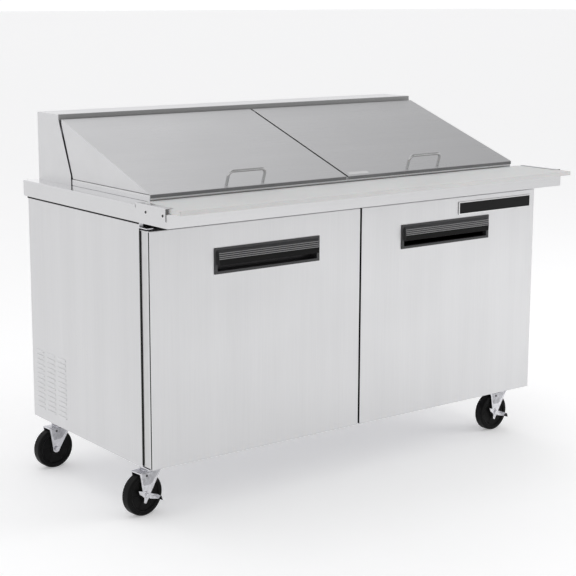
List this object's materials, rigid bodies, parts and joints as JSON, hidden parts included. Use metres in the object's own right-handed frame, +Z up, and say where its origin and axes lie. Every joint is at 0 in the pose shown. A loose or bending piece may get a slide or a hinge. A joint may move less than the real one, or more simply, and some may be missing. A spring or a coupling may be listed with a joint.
{
  "type": "sandwich prep table",
  "caption": "Refrigerated sandwich prep table on casters with hinged doors, hinged pan lids, hood, cutting board and condensing unit.",
  "frame": {"origin": "on the floor, under the middle of the table's outline", "axes": "+X from the left end to the right end, +Y from the front to the back, +Z up"},
  "size_m": [1.5882, 0.883, 1.1295],
  "materials": {
    "badge_black": "gloss black, blank",
    "black_plastic": "moulded black",
    "board_plastic": "white polyethylene",
    "cabinet_plastic": "white moulding",
    "chrome": "polished",
    "copper": "copper tube",
    "fin_metal": "finned coil",
    "foam": "closed-cell foam",
    "gasket_rubber": "soft seal",
    "liner_metal": "satin sheet",
    "machine_black": "black enamel",
    "stainless": "horizontal brushed grain",
    "wheel_rubber": "hard black rubber",
    "zinc": "bright zinc plate"
  },
  "bodies": {
    "cabinet": {"base_frame": "zinc", "board_bracket_screws": "stainless", "board_brackets": "stainless", "caster_plates": "zinc", "compressor": "machine_black", "condenser_coil": "fin_metal", "condenser_shroud": "zinc", "control_box": "black_plastic", "door_hinges": "zinc", "evaporator_coil": "fin_metal", "evaporator_housing": "liner_metal", "fan_motors": "machine_black", "foam_insulation": "foam", "front_frame": "stainless", "hood_liner": "liner_metal", "hood_shell": "stainless", "interior_liner": "liner_metal", "left_side_panel": "stainless", "lid_hinges": "zinc", "pan_bars": "stainless", "pan_rail_collar": "stainless", "power_cord_gland": "black_plastic", "rear_panel": "stainless", "refrigerant_lines": "copper", "right_side_panel": "stainless", "shelf_pilasters": "zinc", "sixth_size_pans": "stainless", "third_size_pans": "stainless", "wire_shelves": "chrome", "worktop": "stainless"},
    "left_door": {"left_door_skin": "stainless", "left_door_liner": "liner_metal", "left_door_foam": "foam", "left_door_gasket": "gasket_rubber", "left_door_pull": "black_plastic"},
    "left_lid": {"left_lid_skin": "stainless", "left_lid_liner": "cabinet_plastic", "left_lid_handle": "chrome"},
    "right_door": {"right_door_skin": "stainless", "right_door_liner": "liner_metal", "right_door_foam": "foam", "right_door_gasket": "gasket_rubber", "right_door_pull": "black_plastic", "badge_plate": "badge_black"},
    "right_lid": {"right_lid_skin": "stainless", "right_lid_liner": "cabinet_plastic", "right_lid_handle": "chrome"},
    "board": {"cutting_board": "board_plastic"},
    "front_left_swivel": {"front_left_fork": "zinc"},
    "front_left_wheel_body": {"front_left_wheel": "wheel_rubber"},
    "front_right_swivel": {"front_right_fork": "zinc"},
    "front_right_wheel_body": {"front_right_wheel": "wheel_rubber"},
    "rear_left_swivel": {"rear_left_fork": "zinc"},
    "rear_left_wheel_body": {"rear_left_wheel": "wheel_rubber"},
    "rear_right_swivel": {"rear_right_fork": "zinc"},
    "rear_right_wheel_body": {"rear_right_wheel": "wheel_rubber"},
    "front_left_brake_lever": {"front_left_brake": "zinc"},
    "front_right_brake_lever": {"front_right_brake": "zinc"},
    "condenser_fan_rotor": {"condenser_fan": "black_plastic"},
    "evaporator_fan_rotor": {"evaporator_fan": "black_plastic"}
  },
  "joints": [
    {"name": "left_door_hinge", "type": "hinge", "parent": "cabinet", "child": "left_door", "pos_m": [-0.747, -0.2585, 0.5], "axis": [0, 0, -1], "range_deg": [0, 100], "stiffness_Nm_per_rad": 1.2},
    {"name": "right_door_hinge", "type": "hinge", "parent": "cabinet", "child": "right_door", "pos_m": [0.747, -0.2585, 0.5], "axis": [0, 0, 1], "range_deg": [0, 100], "stiffness_Nm_per_rad": 1.2},
    {"name": "left_lid_hinge", "type": "hinge", "parent": "cabinet", "child": "left_lid", "pos_m": [-0.35, 0.2785, 1.104], "axis": [-1, 0, 0], "range_deg": [0, 112]},
    {"name": "right_lid_hinge", "type": "hinge", "parent": "cabinet", "child": "right_lid", "pos_m": [0.35, 0.2785, 1.104], "axis": [-1, 0, 0], "range_deg": [0, 112]},
    {"name": "board_slide", "type": "slide", "parent": "cabinet", "child": "board", "axis": [0, -1, 0], "range_m": [0, 0.16]},
    {"name": "front_left_swivel_turn", "type": "hinge", "parent": "cabinet", "child": "front_left_swivel", "pos_m": [-0.7, -0.1765, 0.145], "axis": [0, 0, 1], "continuous": true},
    {"name": "front_left_wheel_roll", "type": "hinge", "parent": "front_left_swivel", "child": "front_left_wheel_body", "pos_m": [-0.72978, -0.18016, 0.0635], "axis": [-0.1219, 0.9925, 0], "continuous": true},
    {"name": "front_left_brake_press", "type": "hinge", "parent": "front_left_swivel", "child": "front_left_brake_lever", "pos_m": [-0.72978, -0.18016, 0.0635], "axis": [-0.1219, 0.9925, 0], "range_deg": [0, 25]},
    {"name": "front_right_swivel_turn", "type": "hinge", "parent": "cabinet", "child": "front_right_swivel", "pos_m": [0.722, -0.1765, 0.145], "axis": [0, 0, 1], "continuous": true},
    {"name": "front_right_wheel_roll", "type": "hinge", "parent": "front_right_swivel", "child": "front_right_wheel_body", "pos_m": [0.69203, -0.17781, 0.0635], "axis": [-0.0436, 0.999, 0], "continuous": true},
    {"name": "front_right_brake_press", "type": "hinge", "parent": "front_right_swivel", "child": "front_right_brake_lever", "pos_m": [0.69203, -0.17781, 0.0635], "axis": [-0.0436, 0.999, 0], "range_deg": [0, 25]},
    {"name": "rear_left_swivel_turn", "type": "hinge", "parent": "cabinet", "child": "rear_left_swivel", "pos_m": [-0.7, 0.3615, 0.145], "axis": [0, 0, 1], "continuous": true},
    {"name": "rear_left_wheel_roll", "type": "hinge", "parent": "rear_left_swivel", "child": "rear_left_wheel_body", "pos_m": [-0.72996, 0.35993, 0.0635], "axis": [-0.0523, 0.9986, 0], "continuous": true},
    {"name": "rear_right_swivel_turn", "type": "hinge", "parent": "cabinet", "child": "rear_right_swivel", "pos_m": [0.722, 0.3615, 0.145], "axis": [0, 0, 1], "continuous": true},
    {"name": "rear_right_wheel_roll", "type": "hinge", "parent": "rear_right_swivel", "child": "rear_right_wheel_body", "pos_m": [0.74211, 0.38376, 0.0635], "axis": [0.742, -0.6704, 0], "continuous": true},
    {"name": "condenser_fan_spin", "type": "hinge", "parent": "cabinet", "child": "condenser_fan_rotor", "pos_m": [-0.688, 0.335, 0.267], "axis": [1, 0, 0], "continuous": true},
    {"name": "evaporator_fan_spin", "type": "hinge", "parent": "cabinet", "child": "evaporator_fan_rotor", "pos_m": [0, 0.302, 0.67], "axis": [0, 1, 0], "continuous": true}
  ]
}
